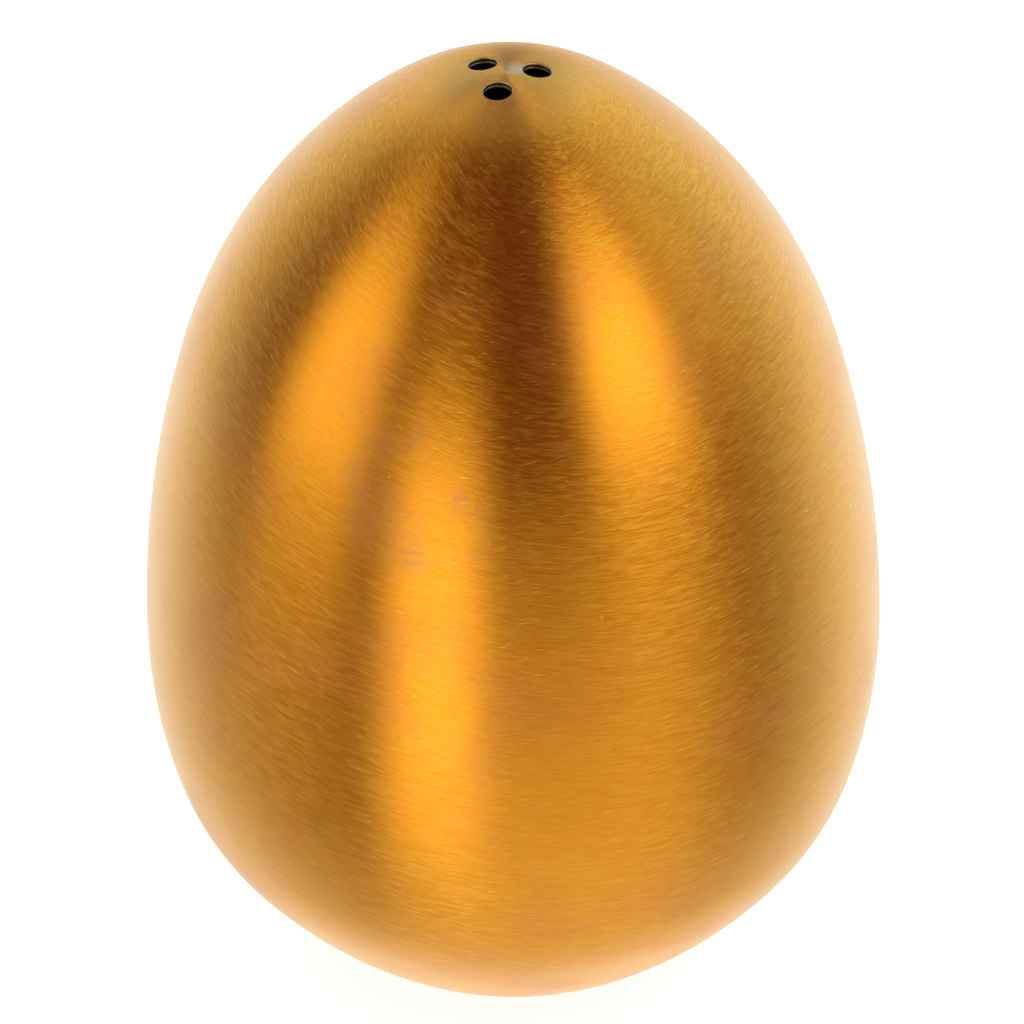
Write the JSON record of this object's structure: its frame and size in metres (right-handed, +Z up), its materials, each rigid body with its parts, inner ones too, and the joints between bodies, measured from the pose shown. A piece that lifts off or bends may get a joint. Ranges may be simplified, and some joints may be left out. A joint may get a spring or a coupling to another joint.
{
  "type": "egg-shaped salt shaker",
  "caption": "Egg-shaped salt shaker in gold-coated brushed steel, with pour holes in its tip and a silicone stopper that pulls out of its foot for filling.",
  "frame": {"origin": "centre of the flat foot ring that the egg stands on", "axes": "+Z up along the egg's axis to its pierced tip; one pour hole lies toward -Y"},
  "size_m": [0.052, 0.052, 0.0697],
  "materials": {
    "gold_steel": "brushed round the axis, then coated gold",
    "silicone": "matte, slightly translucent"
  },
  "bodies": {
    "egg": {"upper_shell": "gold_steel", "girth_weld": "gold_steel", "lower_shell": "gold_steel", "filler_collar": "gold_steel", "collar_weld": "gold_steel"},
    "plug": {"stopper": "silicone"}
  },
  "joints": [
    {"name": "stopper_pull", "type": "slide", "parent": "egg", "child": "plug", "axis": [0, 0, -1], "range_m": [0, 0.03]}
  ]
}
